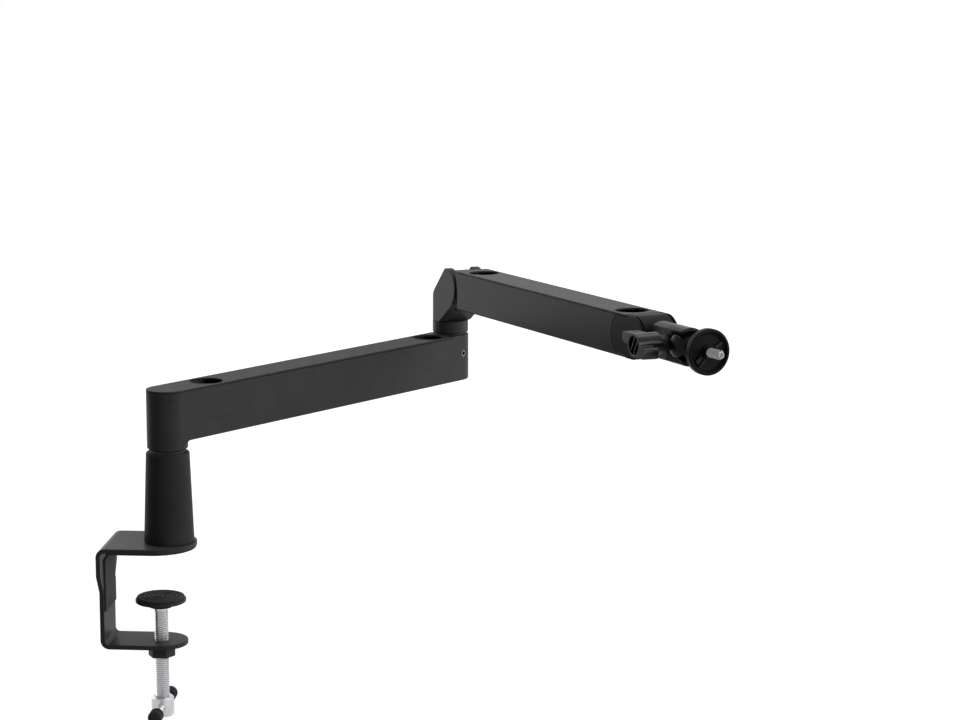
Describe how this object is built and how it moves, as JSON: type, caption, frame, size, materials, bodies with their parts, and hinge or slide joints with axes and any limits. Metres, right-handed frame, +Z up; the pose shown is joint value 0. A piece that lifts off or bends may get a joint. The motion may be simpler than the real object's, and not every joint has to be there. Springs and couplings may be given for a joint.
{
  "type": "desk microphone arm",
  "caption": "Low profile desk-clamp microphone arm: tapered riser, two level cable-channel arms with lift-off covers, swivel and tilt elbow, lockable ball head with threaded stud.",
  "frame": {"origin": "on the underside of the clamp's top pad, on the riser's axis", "axes": "+X into the desk away from the clamp's spine, +Y along the desk's edge to the side the elbow is on, +Z up along the riser"},
  "size_m": [0.4383, 0.3676, 0.2978],
  "materials": {
    "coated_steel": "satin black powder coat on bent steel",
    "coated_body": "fine satin black powder coat",
    "black_rubber": "matte",
    "black_washer": "matte",
    "sleeve": "natural polymer",
    "knob_plastic": "satin moulded plastic",
    "gloss_black": "gloss black",
    "plate_black": "satin black",
    "steel": "zinc plated",
    "dark_steel": "black oxide",
    "plated": "nickel plated",
    "brass": "turned"
  },
  "bodies": {
    "base": {"clamp_bracket": "coated_steel", "clamp_nut": "coated_steel", "top_pad": "black_rubber", "edge_pad": "black_rubber", "riser_screws": "steel", "riser_column": "coated_body", "base_washer": "black_washer", "pivot_shaft": "steel", "pivot_nut": "steel"},
    "jaw": {"pressure_plate": "coated_steel", "pressure_pad": "black_rubber"},
    "screw": {"clamp_screw": "steel"},
    "handle": {"handle_bar": "steel", "handle_caps": "black_rubber"},
    "lower_arm": {"lower_beam": "coated_body", "base_bush": "sleeve", "elbow_washer": "black_washer", "elbow_set_screw": "dark_steel", "lower_magnets": "plated"},
    "lower_lid": {"lower_cover": "coated_body", "lower_keepers": "steel"},
    "turret": {"elbow_collar": "coated_body", "elbow_fork": "coated_body", "elbow_shaft": "steel", "hinge_pin": "steel"},
    "upper_arm": {"upper_beam": "coated_body", "hinge_tongue": "coated_body", "tongue_screws": "steel", "tilt_washers": "black_washer", "tip_block": "coated_body", "tip_caps": "coated_body", "upper_magnets": "plated", "head_barrel": "coated_body", "ball_cup": "gloss_black"},
    "upper_lid": {"upper_cover": "coated_body", "upper_keepers": "steel"},
    "shoe": {"ball_shoe": "brass"},
    "knob": {"knob_screw": "steel", "locking_knob": "knob_plastic"},
    "ball_core": {"ball": "gloss_black"},
    "stem": {"ball_stem": "gloss_black"},
    "mic_end": {"mic_plate": "plate_black", "plate_ribs": "plate_black", "mic_stud": "plated"}
  },
  "joints": [
    {"name": "screw_turn", "type": "hinge", "parent": "jaw", "child": "screw", "pos_m": [-0.007, 0, -0.06], "axis": [0, 0, 1], "range_deg": [-5285, 6725]},
    {"name": "jaw_slide", "type": "slide", "parent": "base", "child": "jaw", "axis": [0, 0, 1], "range_m": [-0.022, 0.028]},
    {"name": "bar_slide", "type": "slide", "parent": "screw", "child": "handle", "axis": [0, 1, 0], "range_m": [-0.013, 0.013]},
    {"name": "base_swivel", "type": "hinge", "parent": "base", "child": "lower_arm", "pos_m": [0, 0, 0.0776], "axis": [0, 0, 1], "continuous": true},
    {"name": "lower_lid_lift", "type": "slide", "parent": "lower_arm", "child": "lower_lid", "axis": [0, 0, 1], "range_m": [0, 0.01]},
    {"name": "elbow_swivel", "type": "hinge", "parent": "lower_arm", "child": "turret", "pos_m": [0.1797, 0.26393, 0.1156], "axis": [0, 0, 1], "continuous": true},
    {"name": "elbow_tilt", "type": "hinge", "parent": "turret", "child": "upper_arm", "pos_m": [0.19054, 0.24536, 0.1549], "axis": [-0.8637, -0.5041, 0], "range_deg": [-45, 90]},
    {"name": "upper_lid_lift", "type": "slide", "parent": "upper_arm", "child": "upper_lid", "axis": [-0.004, 0.0069, 1], "range_m": [0, 0.02]},
    {"name": "knob_turn", "type": "hinge", "parent": "shoe", "child": "knob", "pos_m": [0.33782, -0.04665, 0.15752], "axis": [0.8637, 0.5041, 0], "range_deg": [-271, 0]},
    {"name": "shoe_slide", "type": "slide", "parent": "upper_arm", "child": "shoe", "axis": [0.8637, 0.5041, 0], "range_m": [-0.0006, 0]},
    {"name": "ball_pan", "type": "hinge", "parent": "upper_arm", "child": "ball_core", "pos_m": [0.36144, -0.04745, 0.15762], "axis": [-0.004, 0.0069, 1], "range_deg": [-20, 20]},
    {"name": "ball_tilt", "type": "hinge", "parent": "ball_core", "child": "stem", "pos_m": [0.36144, -0.04745, 0.15762], "axis": [-0.8637, -0.5041, 0], "range_deg": [-20, 20]},
    {"name": "stud_spin", "type": "hinge", "parent": "stem", "child": "mic_end", "pos_m": [0.36144, -0.04745, 0.15762], "axis": [0.5041, -0.8636, 0.008], "continuous": true}
  ],
  "couplings": [
    {"joint": "screw_turn", "follows": "jaw_slide", "rad_per_m": 4188.8},
    {"joint": "knob_turn", "follows": "shoe_slide", "rad_per_m": 7854}
  ]
}
